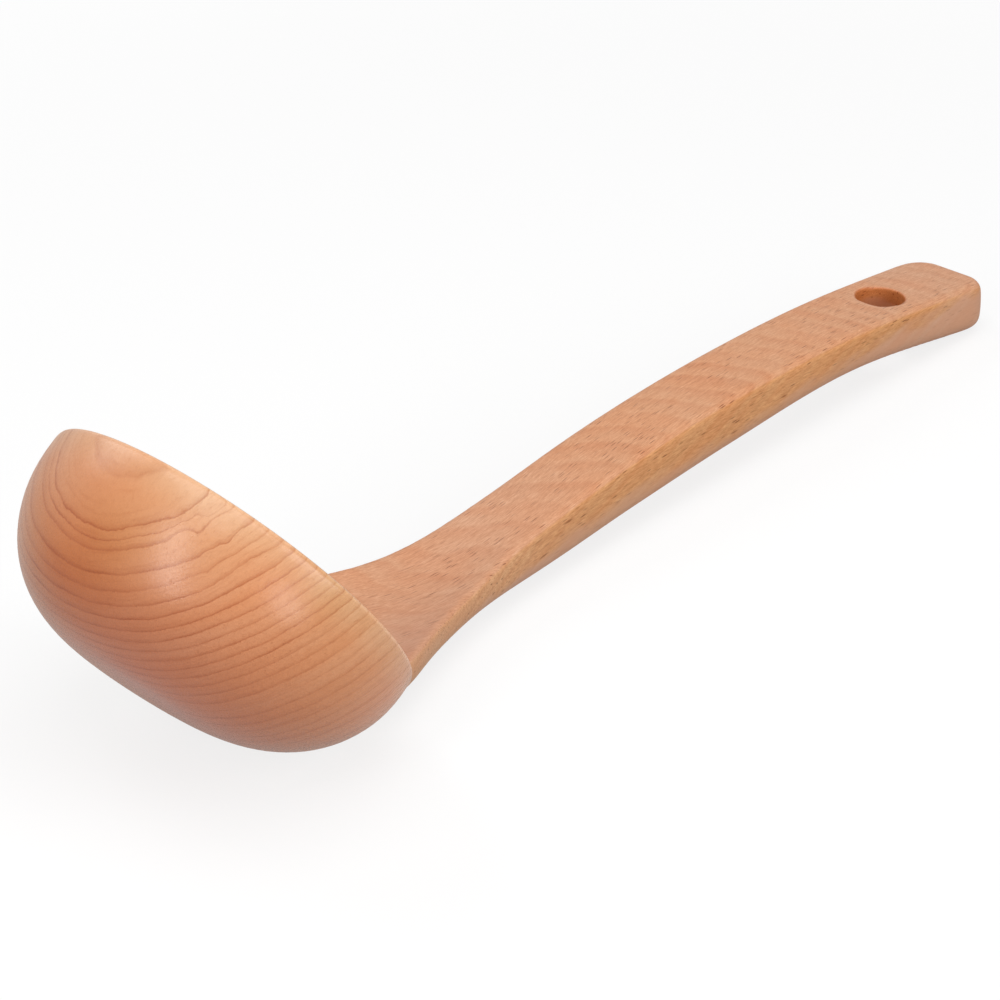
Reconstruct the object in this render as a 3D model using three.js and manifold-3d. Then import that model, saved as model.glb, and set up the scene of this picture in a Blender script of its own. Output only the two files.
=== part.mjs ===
// Wooden ladle: a turned bowl, a shaped handle coped to its rim, and two dowel pins across the joint.
// Millimetres, +Z up. It lies as it does when put down, on the bowl's back and the handle's tip.

import * as THREE from 'three';
import { mergeVertices } from 'three/addons/utils/BufferGeometryUtils.js';
import Module from 'manifold-3d';

const wasm = await Module();
wasm.setup();

// Bowl sizes. Depth runs from the lip's crest to the flat foot.
const bowlDiameter = 86.6;
const bowlDepth = 33.4;
const footDiameter = 18;
const wallThickness = 5.4;
const floorThickness = 6.5;
const hollowFlatDiameter = 14;
// How squarely the bowl's side turns into its foot: 2 is an ellipse, and more is squarer.
const sideSquareness = 2.31;
const footSquareness = 2.29;
// How much deeper the bowl is at its front edge, and shallower at the handle, as a share of its depth.
const frontDeepening = 0.095;

// Handle sizes. Every "At" is measured along the handle, from the lip's crest at the joint.
const handleAngle = 57;
const handleLength = 218.2;
const waistWidth = 19.2;
const tipWidth = 22.4;
const flareWidth = 23;
const flareLength = 32;
const flareLead = 5;
const topEdgeRadius = 1.6;
const bottomEdgeRadius = 3.5;
const tipRoundLength = 9.8;
const tipSquareness = 4.2;
const tipEdgeRadius = 3.4;
// No rounded edge takes up more than this share of its section.
const edgeLimit = 0.45;
// The rounding of both ends stops at this share of its quarter turn, which leaves a small flat end.
const endTurn = 0.96;

// The handle's top face, as heights above the lip's crest, and its thickness below that face.
const rootRise = 6.2;
const rootThickness = 7.4;
const neckAt = 30;
const neckRise = 4.2;
const neckThickness = 7.6;
const shoulderAt = 57;
const shoulderRise = 6.8;
const shoulderThickness = 12;
const gripAt = 88;
const gripRise = 9.9;
const gripThickness = 13.7;
const archAt = 121;
const archRise = 10.9;
const archThickness = 13.4;
const tailAt = 165;
const tailRise = 9;
const tailThickness = 11.4;
const tipRise = 2.2;
const tipThickness = 13.5;

// The root's underside is crowned and its top is dished, and both fade out along the handle.
const rootCrown = 7;
const gripCrown = 0.6;
const rootDish = 4.4;
const rootFade = 34;

// Hanging hole, measured back from the tip.
const holeDiameter = 11.9;
const holeFromTip = 30.5;

// The joint: how far the root laps over the lip's crest, its glue gap, and the two dowels.
// The root is drawn from a blunt nose well inside the rim, and is then coped to the bowl.
const rootReach = 18;
const rootSquareness = 4;
const rimLap = 1.5;
const glueGap = 0.3;
const dowelDiameter = 3;
const dowelLength = 18;
const dowelInBowl = 5;
const dowelSpacing = 14;
const dowelDrop = 2.4;
const dowelClearance = 0.3;

// How finely curved faces are cut into flat ones.
const bowlSegments = 72;
const profileSteps = 14;
const lipSteps = 8;
const rowSpacing = 5;
const endRows = 8;
const topSteps = 4;
const arcSteps = 4;
const bottomSteps = 5;
const holeSegments = 32;
const dowelSegments = 20;
const weldDistance = 1e-4;
const angleTolerance = 1e-7;

const bowlRadius = bowlDiameter / 2;
const lipRadius = wallThickness / 2;
const crestRadius = bowlRadius - lipRadius;

// Solids: three.js geometry in, a manifold solid for cuts, and geometry out again.

function toSolid(geometry) {
  geometry.deleteAttribute('normal');
  geometry.deleteAttribute('uv');
  const merged = mergeVertices(geometry, weldDistance);
  const corners = merged.index.array;
  const triangles = [];
  for (let i = 0; i < corners.length; i += 3) {
    const [a, b, c] = [corners[i], corners[i + 1], corners[i + 2]];
    if (a !== b && b !== c && c !== a) triangles.push(a, b, c);
  }
  const mesh = new wasm.Mesh({
    numProp: 3,
    vertProperties: new Float32Array(merged.attributes.position.array),
    triVerts: new Uint32Array(triangles),
  });
  return new wasm.Manifold(mesh);
}

function toGeometry(solid) {
  const mesh = solid.getMesh();
  const geometry = new THREE.BufferGeometry();
  geometry.setAttribute('position', new THREE.BufferAttribute(mesh.vertProperties, 3));
  geometry.setIndex(new THREE.BufferAttribute(mesh.triVerts, 1));
  geometry.computeVertexNormals();
  return geometry;
}

// A lathe profile is drawn as (radius, height). Its axis is turned to +Z, and its front is deepened.
function turned(profile) {
  const geometry = new THREE.LatheGeometry(profile, bowlSegments);
  geometry.rotateX(Math.PI / 2);
  const { position } = geometry.attributes;
  for (let i = 0; i < position.count; i += 1) {
    const deepening = 1 - (frontDeepening * position.getX(i)) / bowlRadius;
    position.setZ(i, position.getZ(i) * deepening);
  }
  return toSolid(geometry);
}

// Bowl

// One wall of the bowl, from its flat up to the height where the lip begins.
function wallCurve(radius, depth, flatRadius) {
  const start = Math.asin((lipRadius / depth) ** (sideSquareness / 2));
  const points = [];
  for (let i = 0; i <= profileSteps; i += 1) {
    const angle = THREE.MathUtils.lerp(Math.PI / 2, start, i / profileSteps);
    const across = flatRadius + (radius - flatRadius) * Math.cos(angle) ** (2 / footSquareness);
    const height = -depth * Math.sin(angle) ** (2 / sideSquareness);
    points.push(new THREE.Vector2(across, height));
  }
  return points;
}

// An arc of the lip, between two angles from the outward direction.
function lipArc(radius, from, to) {
  const points = [];
  for (let i = 1; i < lipSteps; i += 1) {
    const angle = THREE.MathUtils.lerp(from, to, i / lipSteps);
    points.push(new THREE.Vector2(
      crestRadius + radius * Math.cos(angle),
      -lipRadius + radius * Math.sin(angle),
    ));
  }
  return points;
}

const outerWall = wallCurve(bowlRadius, bowlDepth, footDiameter / 2);

function makeBowl() {
  const innerWall = wallCurve(
    bowlRadius - wallThickness,
    bowlDepth - floorThickness,
    hollowFlatDiameter / 2,
  );
  return turned([
    new THREE.Vector2(0, -bowlDepth),
    ...outerWall,
    ...lipArc(lipRadius, 0, Math.PI),
    ...innerWall.reverse(),
    new THREE.Vector2(0, floorThickness - bowlDepth),
  ]);
}

// What the bowl and its opening keep clear of the handle: the outside, one glue gap larger.
function makeBowlEnvelope() {
  const topLevel = rootRise + handleLength;
  const lapRadius = crestRadius - rimLap;
  const lapAngle = Math.PI / 2 + Math.asin(rimLap / (lipRadius + glueGap));
  const lap = lipArc(lipRadius + glueGap, 0, lapAngle);
  return turned([
    new THREE.Vector2(0, -bowlDepth - glueGap),
    ...outerWall.map((point, i) => grownPoint(outerWall, i)),
    ...lap,
    new THREE.Vector2(lapRadius, -lipRadius + (lipRadius + glueGap) * Math.sin(lapAngle)),
    new THREE.Vector2(lapRadius, topLevel),
    new THREE.Vector2(0, topLevel),
  ]);
}

// A profile point moved outward by the glue gap, square to the profile.
function grownPoint(profile, i) {
  const before = profile[Math.max(i - 1, 0)];
  const after = profile[Math.min(i + 1, profile.length - 1)];
  const along = after.clone().sub(before).normalize();
  return new THREE.Vector2(profile[i].x + glueGap * along.y, profile[i].y - glueGap * along.x);
}

// Handle

// The handle's own frame: x along it, z up from its top face, origin on the lip's crest at the joint.
const tilt = THREE.MathUtils.degToRad(handleAngle);
const handleFrame = new THREE.Matrix4().makeBasis(
  new THREE.Vector3(Math.cos(tilt), 0, Math.sin(tilt)),
  new THREE.Vector3(0, 1, 0),
  new THREE.Vector3(-Math.sin(tilt), 0, Math.cos(tilt)),
).setPosition(crestRadius, 0, 0);

const stations = [
  { at: -rootReach, rise: rootRise, thickness: rootThickness },
  { at: 0, rise: rootRise, thickness: rootThickness },
  { at: neckAt, rise: neckRise, thickness: neckThickness },
  { at: shoulderAt, rise: shoulderRise, thickness: shoulderThickness },
  { at: gripAt, rise: gripRise, thickness: gripThickness },
  { at: archAt, rise: archRise, thickness: archThickness },
  { at: tailAt, rise: tailRise, thickness: tailThickness },
  { at: handleLength, rise: tipRise, thickness: tipThickness },
];
const stationCurve = new THREE.CubicInterpolant(
  stations.map((station) => station.at),
  stations.flatMap((station) => [station.rise, station.thickness]),
  2,
);

// Rise and thickness of the handle at one place along it.
function stationAt(at) {
  const [rise, thickness] = stationCurve.evaluate(at);
  return { rise, thickness };
}

// How far a place lies into the rounded tip: 0 where the rounding starts, and 1 at its end.
function intoTipAt(at) {
  return Math.max(at - (handleLength - tipRoundLength), 0) / tipRoundLength;
}

// How far a place lies into the root's nose: 0 at the lip's crest, and 1 at the end of its reach.
function intoRootAt(at) {
  return Math.max(-at, 0) / rootReach;
}

// How full an end still is, as a share, at a place that lies so far into it.
function fullness(into, squareness) {
  return (1 - into ** squareness) ** (1 / squareness);
}

// Half the handle's width, with the flare at the root and both rounded ends.
function halfWidthAt(at) {
  const flare = flareWidth * Math.exp(-(((at + flareLead) / flareLength) ** 2));
  const grow = Math.max(at, 0) / handleLength;
  const straight = waistWidth + (tipWidth - waistWidth) * grow ** 2 + flare;
  const ends = fullness(intoTipAt(at), tipSquareness) * fullness(intoRootAt(at), rootSquareness);
  return (straight / 2) * ends;
}

// One cross-section of the handle as a loop of points, seen from the tip and run anticlockwise.
function sectionAt(at) {
  const { rise, thickness } = stationAt(at);
  const intoEdge = Math.max(at - (handleLength - tipEdgeRadius), 0);
  const shrink = tipEdgeRadius - Math.sqrt(tipEdgeRadius ** 2 - intoEdge ** 2);
  const top = rise - shrink;
  const side = thickness - 2 * shrink;
  const halfWidth = halfWidthAt(at);
  const fade = Math.exp(-((Math.max(at, 0) / rootFade) ** 2));
  const dish = rootDish * fade;
  const crown = (gripCrown + (rootCrown - gripCrown) * fade) * fullness(intoRootAt(at), rootSquareness);
  const edgeRadius = THREE.MathUtils.lerp(topEdgeRadius, tipEdgeRadius, intoTipAt(at));
  const largestRadius = edgeLimit * Math.min(halfWidth, side);
  const topRadius = Math.min(edgeRadius, largestRadius);
  const bottomRadius = Math.min(bottomEdgeRadius, largestRadius);
  const half = [];
  const flat = halfWidth - topRadius;
  for (let i = 0; i < topSteps; i += 1) {
    const share = i / topSteps;
    half.push([flat * share, top - dish * (1 - share ** 2)]);
  }
  for (let i = 0; i <= arcSteps; i += 1) {
    const angle = (Math.PI / 2) * (1 - i / arcSteps);
    half.push([flat + topRadius * Math.cos(angle), top - topRadius + topRadius * Math.sin(angle)]);
  }
  const belly = halfWidth - bottomRadius;
  const slope = Math.atan2(2 * crown, belly);
  for (let i = 0; i <= arcSteps; i += 1) {
    const angle = -(Math.PI / 2 - slope) * (i / arcSteps);
    half.push([belly + bottomRadius * Math.cos(angle), top - side + bottomRadius * (1 + Math.sin(angle))]);
  }
  const [edge, edgeHeight] = half[half.length - 1];
  for (let i = 1; i <= bottomSteps; i += 1) {
    const share = 1 - i / bottomSteps;
    half.push([edge * share, edgeHeight - crown * (1 - share ** 2)]);
  }
  const otherHalf = half.slice(1, -1).reverse().map(([across, height]) => [-across, height]);
  return [...half, ...otherHalf].map(([across, height]) => new THREE.Vector3(at, across, height));
}

// A closed skin over a row of loops that all have the same number of points.
function loft(loops) {
  const count = loops[0].length;
  const positions = loops.flat().flatMap((point) => [point.x, point.y, point.z]);
  const indices = [];
  for (let row = 0; row + 1 < loops.length; row += 1) {
    for (let i = 0; i < count; i += 1) {
      const a = row * count + i;
      const b = row * count + ((i + 1) % count);
      indices.push(a, a + count, b, b, a + count, b + count);
    }
  }
  for (const [row, flip] of [[0, false], [loops.length - 1, true]]) {
    const centre = new THREE.Vector3();
    for (const point of loops[row]) centre.addScaledVector(point, 1 / count);
    const hub = positions.length / 3;
    positions.push(centre.x, centre.y, centre.z);
    for (let i = 0; i < count; i += 1) {
      const a = row * count + i;
      const b = row * count + ((i + 1) % count);
      if (flip) indices.push(hub, b, a);
      else indices.push(hub, a, b);
    }
  }
  const geometry = new THREE.BufferGeometry();
  geometry.setAttribute('position', new THREE.Float32BufferAttribute(positions, 3));
  geometry.setIndex(indices);
  return geometry;
}

// Places along the handle for its cross-sections, closer together round both ends.
function sectionPlaces() {
  const tipStart = handleLength - tipRoundLength;
  const steps = Math.ceil(tipStart / rowSpacing);
  const places = [];
  for (let i = endRows; i > 0; i -= 1) places.push(-rootReach * endShare(i));
  for (let i = 0; i < steps; i += 1) places.push((tipStart * i) / steps);
  for (let i = 0; i <= endRows; i += 1) places.push(tipStart + tipRoundLength * endShare(i));
  return places;
}

// How far into a rounded end one of its rows lies.
function endShare(row) {
  return Math.sin((row / endRows) * (Math.PI / 2) * endTurn);
}

// A cylinder along the handle's x or z axis, centred on a point of the handle's frame.
function handleCylinder(diameter, length, segments, axis, x, y, z) {
  const geometry = new THREE.CylinderGeometry(diameter / 2, diameter / 2, length, segments);
  if (axis === 'x') geometry.rotateZ(-Math.PI / 2);
  else geometry.rotateX(Math.PI / 2);
  geometry.translate(x, y, z);
  geometry.applyMatrix4(handleFrame);
  return toSolid(geometry);
}

// A dowel, or with a clearance the socket that it sits in.
function makeDowel(side, clearance) {
  const middle = dowelLength / 2 - dowelInBowl;
  return handleCylinder(
    dowelDiameter + 2 * clearance,
    dowelLength + 2 * clearance,
    dowelSegments,
    'x',
    middle,
    (side * dowelSpacing) / 2,
    -dowelDrop,
  );
}

function makeHole() {
  const at = handleLength - holeFromTip;
  const { rise, thickness } = stationAt(at);
  return handleCylinder(holeDiameter, 2 * thickness, holeSegments, 'z', at, 0, rise - thickness / 2);
}

// Assembly

const sockets = makeDowel(1, dowelClearance).add(makeDowel(-1, dowelClearance));
const bar = loft(sectionPlaces().map(sectionAt)).applyMatrix4(handleFrame);
const solids = {
  bowl: makeBowl().subtract(sockets),
  handle: toSolid(bar).subtract(makeBowlEnvelope()).subtract(makeHole()).subtract(sockets),
  dowel_pin_left: makeDowel(1, 0),
  dowel_pin_right: makeDowel(-1, 0),
};

const beech = { roughness: 0.42, metalness: 0 };
const materials = {
  bowl: new THREE.MeshStandardMaterial({ color: 0xc98a58, ...beech }),
  handle: new THREE.MeshStandardMaterial({ color: 0xcd9a72, ...beech }),
  dowel_pin_left: new THREE.MeshStandardMaterial({ color: 0xd2a67e, ...beech }),
  dowel_pin_right: new THREE.MeshStandardMaterial({ color: 0xd2a67e, ...beech }),
};

const ladle = new THREE.Group();
for (const [name, solid] of Object.entries(solids)) {
  const mesh = new THREE.Mesh(toGeometry(solid), materials[name]);
  mesh.name = name;
  ladle.add(mesh);
}

// How low a piece reaches once the ladle is tipped back by an angle.
function lowestOf(mesh, angle) {
  const { array } = mesh.geometry.attributes.position;
  let lowest = Infinity;
  for (let i = 0; i < array.length; i += 3) {
    lowest = Math.min(lowest, array[i + 2] * Math.cos(angle) - array[i] * Math.sin(angle));
  }
  return lowest;
}

// The ladle tips back until the handle's tip comes down to the level of the bowl's back.
function restAngle() {
  const [bowl, handle] = ladle.children;
  let low = 0;
  let high = Math.PI / 2;
  while (high - low > angleTolerance) {
    const angle = (low + high) / 2;
    if (lowestOf(handle, angle) > lowestOf(bowl, angle)) low = angle;
    else high = angle;
  }
  return high;
}

ladle.rotation.y = restAngle();
ladle.updateMatrixWorld(true);
const box = new THREE.Box3().setFromObject(ladle, true);
const middle = box.getCenter(new THREE.Vector3());
ladle.position.set(-middle.x, -middle.y, -box.min.z);

const group = new THREE.Group();
group.add(ladle);
export default group;
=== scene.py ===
# %% [markdown]
# # A wooden soup ladle
# The photograph shows a plain beech ladle on a white ground: a round bowl, and a flat-topped handle that
# dips behind the rim, swells to a grip and ends in a drilled hole to hang it by. The packed model gives
# every piece its size and place. This lesson models a smooth bowl and a smooth handle of that size, gives
# them the look of beech, and lights them as in a small studio.

# %% Load the packed model
import math

import bmesh
import bpy
from mathutils import Matrix, Quaternion, Vector


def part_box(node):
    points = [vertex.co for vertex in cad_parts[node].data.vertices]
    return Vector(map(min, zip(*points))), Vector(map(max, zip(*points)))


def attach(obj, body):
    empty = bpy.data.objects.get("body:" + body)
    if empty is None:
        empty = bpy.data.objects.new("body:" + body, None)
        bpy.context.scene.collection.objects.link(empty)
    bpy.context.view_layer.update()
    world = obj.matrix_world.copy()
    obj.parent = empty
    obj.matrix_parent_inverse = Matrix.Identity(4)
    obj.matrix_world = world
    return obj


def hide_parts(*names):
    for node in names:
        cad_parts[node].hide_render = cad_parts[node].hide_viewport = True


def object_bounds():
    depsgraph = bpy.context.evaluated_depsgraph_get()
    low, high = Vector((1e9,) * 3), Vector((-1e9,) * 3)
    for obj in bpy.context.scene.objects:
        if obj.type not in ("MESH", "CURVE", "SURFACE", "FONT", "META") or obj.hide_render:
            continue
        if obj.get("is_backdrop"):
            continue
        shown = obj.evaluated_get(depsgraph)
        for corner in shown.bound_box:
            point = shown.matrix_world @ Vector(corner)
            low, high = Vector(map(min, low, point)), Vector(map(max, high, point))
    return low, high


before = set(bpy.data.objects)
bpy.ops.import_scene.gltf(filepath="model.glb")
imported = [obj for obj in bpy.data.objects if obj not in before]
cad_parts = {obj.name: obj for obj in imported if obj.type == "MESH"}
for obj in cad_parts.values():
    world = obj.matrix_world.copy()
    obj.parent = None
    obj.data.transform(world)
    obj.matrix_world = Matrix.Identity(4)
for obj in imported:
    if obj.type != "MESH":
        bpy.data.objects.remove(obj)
cad_box = [list(corner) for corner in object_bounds()]
mm = 0.001


def in_mm(place):
    """A place in metres as rounded millimetres, for printing."""
    return [round(value / mm, 2) for value in place]


print("nodes of the packed model:", ", ".join(sorted(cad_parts)))

# %% [markdown]
# ## The camera
# The photograph was taken from in front of the bowl and about 30 degrees above it, with a long lens, so
# that the far handle stays nearly as large as the near bowl. A camera can be turned by three angles, but a
# place, a point to look at and a small roll are easier to read and to correct.

# %% Camera
camera_place = Vector((-505.26, -460.1, 409.89)) * mm
camera_target = Vector((-42.8, -18.64, 36.37)) * mm
camera_roll = math.radians(-1.719)
camera_lens = 128.9

bpy.ops.object.select_all(action="DESELECT")
bpy.ops.object.camera_add(location=camera_place)
camera = bpy.context.object
camera.name = "camera"
camera.data.lens = camera_lens
look = (camera_target - camera_place).to_track_quat("-Z", "Y")
camera.rotation_euler = (look @ Quaternion((0, 0, 1), camera_roll)).to_euler()
bpy.context.scene.camera = camera
print("camera distance in mm:", round((camera_target - camera_place).length / mm))

# %% [markdown]
# ## The bowl's section
# The real bowl is turned on a lathe. Its back curves from a small flat foot to steep sides, which turn in a
# little at the mouth. Its lip is level with tight, eased corners, and its hollow follows the back at an even
# wall. A sphere would be too round at the foot, so the walls and the lip are rounded squares, whose
# exponents say how full they are.

# %% Bowl section
bowl_radius = 43.26 * mm
bowl_depth = 33.4 * mm
foot_radius = 9 * mm
wall_thickness = 5.4 * mm
floor_thickness = 6.5 * mm
hollow_radius = bowl_radius - wall_thickness
hollow_depth = bowl_depth - floor_thickness
hollow_flat = 7 * mm
side_squareness = 2.31
foot_squareness = 2.29
lip_squareness = 4
lip_radius = wall_thickness / 2
crest_radius = bowl_radius - lip_radius
turned_in = 0.66 * mm
turned_height = 14 * mm
wall_steps = 26
lip_steps = 24


def wall_curve(radius, depth, flat):
    """Points of one side of the wall, from the foot up to the lip."""
    low = math.pi / 2
    high = math.asin((lip_radius / depth) ** (side_squareness / 2))
    points = []
    for step in range(wall_steps + 1):
        angle = low + (high - low) * step / wall_steps
        across = flat + (radius - flat) * math.cos(angle) ** (2 / foot_squareness)
        height = -depth * math.sin(angle) ** (2 / side_squareness)
        points.append((across, height))
    return points


def lip_curve():
    """Points over the lip from its outer side to its inner one."""
    points = []
    for step in range(lip_steps + 1):
        angle = math.pi * step / lip_steps
        out = abs(math.cos(angle)) ** (2 / lip_squareness)
        across = crest_radius + math.copysign(lip_radius * out, math.cos(angle))
        height = lip_radius * math.sin(angle) ** (2 / lip_squareness) - lip_radius
        points.append((across, height))
    return points


def narrow_mouth(points):
    """The same points, with those near the lip moved towards the axis."""
    narrowed = []
    for across, height in points:
        nearness = max(1 + height / turned_height, 0)
        narrowed.append((across - turned_in * nearness**2, height))
    return narrowed


outer_wall = narrow_mouth(wall_curve(bowl_radius, bowl_depth, foot_radius))
inner_wall = narrow_mouth(wall_curve(hollow_radius, hollow_depth, hollow_flat))
lip = narrow_mouth(lip_curve()[1:-1])
bowl_section = [(0, -bowl_depth)] + outer_wall + lip + inner_wall[::-1] + [(0, -hollow_depth)]
print("points in the bowl's section:", len(bowl_section))

# %% [markdown]
# ## Turning the bowl
# Spin does in Blender what the lathe does in the workshop. A plane is merged to one point, the point is
# extruded along the section, and the chain is spun about the axis. The start and the end of the spin meet
# in doubles, which are merged before the normals are made to point outwards.

# %% Turn the bowl
turning_steps = 144
weld = 0.001 * mm


def turn_on_axis(name, section):
    """A closed solid turned about the vertical axis from a section that starts and ends on it."""
    bpy.ops.object.select_all(action="DESELECT")
    bpy.ops.mesh.primitive_plane_add(size=bowl_radius)
    piece = bpy.context.object
    piece.name = name
    bpy.ops.object.mode_set(mode="EDIT")
    bpy.ops.mesh.select_mode(type="VERT")
    bpy.ops.mesh.select_all(action="SELECT")
    bpy.ops.mesh.merge(type="CENTER")
    points = [Vector((across, 0, height)) for across, height in section]
    bpy.ops.transform.translate(value=points[0])
    for point, following in zip(points, points[1:]):
        bpy.ops.mesh.extrude_vertices_move(TRANSFORM_OT_translate={"value": following - point})
    bpy.ops.mesh.select_all(action="SELECT")
    bpy.ops.mesh.spin(steps=turning_steps, angle=math.tau, center=(0, 0, 0), axis=(0, 0, 1))
    bpy.ops.mesh.select_all(action="SELECT")
    bpy.ops.mesh.remove_doubles(threshold=weld)
    bpy.ops.mesh.normals_make_consistent(inside=False)
    bpy.ops.object.mode_set(mode="OBJECT")
    return piece


bowl = turn_on_axis("turned_bowl", bowl_section)
print("faces of the turned bowl:", len(bowl.data.polygons))

# %% [markdown]
# ## Deepening and tilting the bowl
# The bowl in the photograph is a little deeper at the front, away from the handle, as a carver leaves it.
# A Simple Deform taper scales the height from one side to the other and leaves the rim flat. The bowl then
# leans on its back, so it is tilted about the cross axis and moved until its lowest corner is where the
# packed bowl has its own. Sideways it stays on the ladle's middle plane.

# %% Tilt the bowl
front_deepening = 0.095
bowl_tilt = math.radians(56.183)


def select_only(piece):
    """Select one piece and make it the active one."""
    bpy.ops.object.select_all(action="DESELECT")
    piece.select_set(True)
    bpy.context.view_layer.objects.active = piece


def apply_modifier(piece, kind, **settings):
    """Add a modifier with these settings and apply it."""
    modifier = piece.modifiers.new(kind.lower(), kind)
    for name, value in settings.items():
        setattr(modifier, name, value)
    select_only(piece)
    bpy.ops.object.modifier_apply(modifier=modifier.name)


def settle(piece, tilt, shift):
    """Tilt a piece about the cross axis, move it, and keep both in its mesh."""
    select_only(piece)
    piece.rotation_euler.y = tilt
    piece.location = shift
    bpy.ops.object.transform_apply(location=True, rotation=True, scale=True)


def deepen_front(piece):
    """Make the front of a turned piece deeper than its back."""
    apply_modifier(
        piece,
        "SIMPLE_DEFORM",
        deform_method="TAPER",
        deform_axis="X",
        lock_y=True,
        factor=-front_deepening * piece.dimensions.x / bowl_radius,
    )


def low_corner(piece):
    """Lowest corner of a piece whose object sits at the origin."""
    return Vector(min(vertex.co[axis] for vertex in piece.data.vertices) for axis in range(3))


deepen_front(bowl)
settle(bowl, bowl_tilt, (0, 0, 0))
rim_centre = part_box("bowl")[0] - low_corner(bowl)
rim_centre.y = 0
settle(bowl, 0, rim_centre)
print("rim centre in mm:", in_mm(rim_centre))

# %% [markdown]
# ## The handle's form
# The handle is sawn and sanded to shape. From above it flares into the bowl's rim with a small shoulder on
# either side, and is widest again at the tip, whose far corner is rounder than its near one. From the side
# its top dips behind the rim, rises to the grip and falls to the tip. Its top is nearly flat, its back is
# crowned near the root, and its lower edges are softer than the upper ones. A few stations along it give
# the height of the top and the thickness, and a smooth curve runs through them.

# %% Handle form
# The handle is drawn in millimetres, and scaled to metres when it is placed.
handle_length = 218.2
root_reach = 18
grip_place = 121
waist_width = 19.2
tip_width = 22.4
flare_width = 23
flare_length = 32
flare_lead = 5
shoulder_width = 4.5
shoulder_length = 10
tip_round = 9.8
tip_squareness = 3.3
far_tip_squareness = 2.4
root_squareness = 4
tip_edge = 3.4
top_edge = 1.6
bottom_edge = 4.5
edge_limit = 0.45
root_dish = 4.4
root_crown = 7
grip_crown = 0.6
root_fade = 34
# Each station has its place along the handle, the height of the top and the thickness.
STATIONS = [
    (-root_reach, 6.2, 7.4),
    (0, 6.2, 7.4),
    (30, 4.2, 7.6),
    (57, 6.8, 12),
    (88, 9.9, 13.7),
    (grip_place, 10.9, 13.4),
    (165, 9, 11.4),
    (handle_length, 2.2, 13.5),
]
PLACE, TOP, THICKNESS = 0, 1, 2


def through_stations(column, at):
    """Height or thickness at one place, on a smooth curve through the stations."""
    last = len(STATIONS) - 2
    spans = list(zip(STATIONS, STATIONS[1:]))
    slopes = [(b[column] - a[column]) / (b[PLACE] - a[PLACE]) for a, b in spans]
    index = max(i for i in range(last + 1) if i == 0 or STATIONS[i][PLACE] <= at)
    before, after = spans[index]
    length = after[PLACE] - before[PLACE]
    part = (at - before[PLACE]) / length
    leaving = (slopes[max(index - 1, 0)] + slopes[index]) / 2 * length
    arriving = (slopes[index] + slopes[min(index + 1, last)]) / 2 * length
    start = before[column] * (1 + 2 * part) + leaving * part
    end = after[column] * (3 - 2 * part) + arriving * (part - 1)
    return start * (1 - part) ** 2 + end * part**2


def fullness(part, squareness):
    """Width left at a part of the way into a rounded end."""
    return (1 - part**squareness) ** (1 / squareness)


def handle_row(at):
    """Widths, heights, bows and edge radii of the handle at one place along it."""
    beyond = max(at, 0)
    into_tip = max(at - (handle_length - tip_round), 0) / tip_round
    into_root = max(-at, 0) / root_reach
    flare = flare_width * math.exp(-(((at + flare_lead) / flare_length) ** 2))
    shoulder = shoulder_width * math.exp(-((beyond / shoulder_length) ** 2))
    width = waist_width + (tip_width - waist_width) * (beyond / handle_length) ** 2 + flare + shoulder
    half = width / 2 * fullness(into_tip, tip_squareness) * fullness(into_root, root_squareness)
    over = max(at - (handle_length - tip_edge), 0)
    shrink = tip_edge - math.sqrt(tip_edge**2 - over**2)
    fade = math.exp(-((beyond / root_fade) ** 2))
    crown = (grip_crown + (root_crown - grip_crown) * fade) * fullness(into_root, root_squareness)
    thick = through_stations(THICKNESS, at) - 2 * shrink
    limit = edge_limit * min(half, thick)
    return {
        "half": half,
        "far_share": fullness(into_tip, far_tip_squareness) / fullness(into_tip, tip_squareness),
        "top": through_stations(TOP, at) - shrink,
        "thick": thick,
        "dish": root_dish * fade,
        "crown": crown,
        "top_edge": min(top_edge + (tip_edge - top_edge) * into_tip, limit),
        "bottom_edge": min(bottom_edge, limit),
    }


print("half width at the grip in mm:", round(handle_row(grip_place)["half"], 2))

# %% [markdown]
# ## Extruding the handle
# A grid one face high and a few faces wide is the section. It is extruded row by row into a straight bar,
# and each row is then scaled and moved to its own width, height and thickness. The columns between the
# sides make the dish of the top and the crown of the back. Edges are given bevel weights, so that one Bevel
# modifier rounds the top edges tightly and the bottom ones softly. Subdivision makes the rows flow.

# %% Extrude the handle
columns = 8
row_spacing = 5
end_rows = 7
end_reach = 0.96
quarter_turn = math.radians(90)
end_turn = quarter_turn * end_reach
end_shares = [math.sin(end_turn * step / end_rows) for step in range(1, end_rows + 1)]
body_length = handle_length - tip_round
body_steps = round(body_length / row_spacing)
places = [-root_reach * share for share in reversed(end_shares)]
places = places + [body_length * step / body_steps for step in range(body_steps + 1)]
places = places + [body_length + tip_round * share for share in end_shares]

bpy.ops.object.select_all(action="DESELECT")
bpy.ops.mesh.primitive_grid_add(x_subdivisions=1, y_subdivisions=columns, size=1)
handle = bpy.context.object
handle.name = "shaped_handle"
handle.rotation_euler.y = quarter_turn
handle.location.x = places[0]
bpy.ops.object.transform_apply(location=True, rotation=True)
bpy.ops.object.mode_set(mode="EDIT")
bpy.ops.mesh.select_all(action="SELECT")
for place, following in zip(places, places[1:]):
    move = {"value": (following - place, 0, 0)}
    bpy.ops.mesh.extrude_region_move(TRANSFORM_OT_translate=move)
bpy.ops.mesh.select_all(action="SELECT")
bpy.ops.mesh.normals_make_consistent(inside=False)
print("rows along the handle:", len(places))

# %% [markdown]
# ## Weighing the long edges
# Rows and columns are picked by their place in the straight bar, which is remembered before anything
# moves. Bevel weights come first, while the long edges are still straight and easy to find.

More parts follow.
